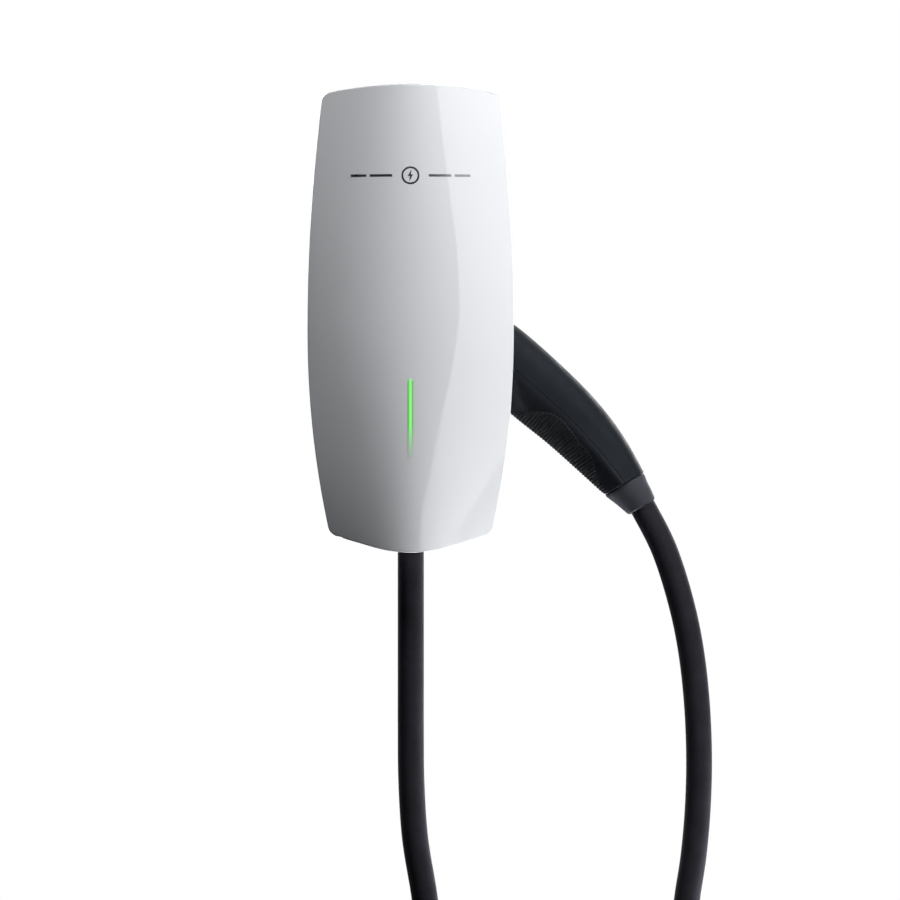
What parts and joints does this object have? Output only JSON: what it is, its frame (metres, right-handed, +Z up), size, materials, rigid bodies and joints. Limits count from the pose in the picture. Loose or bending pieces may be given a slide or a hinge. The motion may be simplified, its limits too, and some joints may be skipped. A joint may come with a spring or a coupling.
{
  "type": "wall-mounted ev charging unit",
  "caption": "Wall-mounted EV charging unit with a bowed white glass faceplate, a green status light, a docked connector handle on its side and a tethered black cable.",
  "frame": {"origin": "centre of the wall screw pattern on the wall plane, at the faceplate's mid height", "axes": "+Z up, +Y into the wall so the front faces -Y, +X to the right as seen from the front"},
  "size_m": [0.2981, 0.11, 0.879],
  "materials": {
    "glass_white": "gloss, opaque white behind clear glass",
    "carrier_grey": "fine texture",
    "case_grey": "fine texture",
    "cover_grey": "fine texture",
    "seal_black": "matt",
    "block_ivory": "satin",
    "screw_steel": "zinc plated",
    "brass": "satin",
    "contact_silver": "silver plated",
    "board_green": "solder mask",
    "relay_black": "satin",
    "coil_blue": "epoxy",
    "supply_yellow": "tape wrapped",
    "lead_insulation": "satin",
    "light_guide": "clear",
    "status_green": "lit window",
    "handle_gloss": "gloss",
    "handle_satin": "satin",
    "grip_soft": "ribbed soft touch",
    "nose_black": "satin",
    "insulator_grey": "satin",
    "boot_grey": "satin",
    "cable_jacket": "matt, fine grain",
    "strap_black": "hook and loop webbing"
  },
  "bodies": {
    "unit": {"wall_base": "case_grey", "base_gasket": "seal_black", "entry_grommet": "seal_black", "conduit_plug": "case_grey", "terminal_block": "block_ivory", "terminal_screws": "screw_steel", "ground_bar": "brass", "main_housing": "case_grey", "housing_seal": "seal_black", "front_cover": "cover_grey", "cover_screws": "screw_steel", "housing_screws": "screw_steel", "stab_contacts": "brass", "power_board": "board_green", "contactor_relays": "relay_black", "current_sensor": "coil_blue", "power_supply": "supply_yellow", "control_board": "board_green", "board_chips": "relay_black", "board_standoffs": "screw_steel", "led_board": "board_green", "light_pipe": "light_guide", "dock_socket": "nose_black", "dock_seal": "seal_black", "gland_body": "relay_black", "gland_nut": "relay_black", "strain_relief": "seal_black", "cord_grip": "screw_steel", "cable_tail": "cable_jacket", "output_leads": "lead_insulation", "charge_cable_left": "cable_jacket", "charge_cable_right": "cable_jacket", "cable_coil": "cable_jacket", "cable_ties": "strap_black"},
    "faceplate_body": {"faceplate": "glass_white", "plate_carrier": "carrier_grey", "plate_clips": "carrier_grey", "status_lens": "status_green"},
    "connector": {"handle_upper_shell": "handle_gloss", "handle_lower_shell": "handle_satin", "soft_grip": "grip_soft", "nose_shell": "nose_black", "contact_carrier": "insulator_grey", "power_contacts": "contact_silver", "signal_contacts": "contact_silver", "button_spring": "screw_steel", "switch_board": "board_green", "shell_screws": "screw_steel", "handle_clamp": "screw_steel", "handle_cable_end": "cable_jacket", "handle_leads": "lead_insulation", "cable_boot": "boot_grey"},
    "release_button_body": {"release_button": "handle_satin"}
  },
  "joints": [
    {"name": "connector_withdraw", "type": "slide", "parent": "unit", "child": "connector", "axis": [1, 0, 0], "range_m": [0, 0.08], "deforming": ["charge_cable_right"]},
    {"name": "faceplate_pull", "type": "slide", "parent": "unit", "child": "faceplate_body", "axis": [0, -1, 0], "range_m": [0, 0.05]},
    {"name": "button_press", "type": "slide", "parent": "connector", "child": "release_button_body", "axis": [0, 0, -1], "range_m": [0, 0.0015], "stiffness_N_per_m": 400, "deforming": ["button_spring"]}
  ]
}
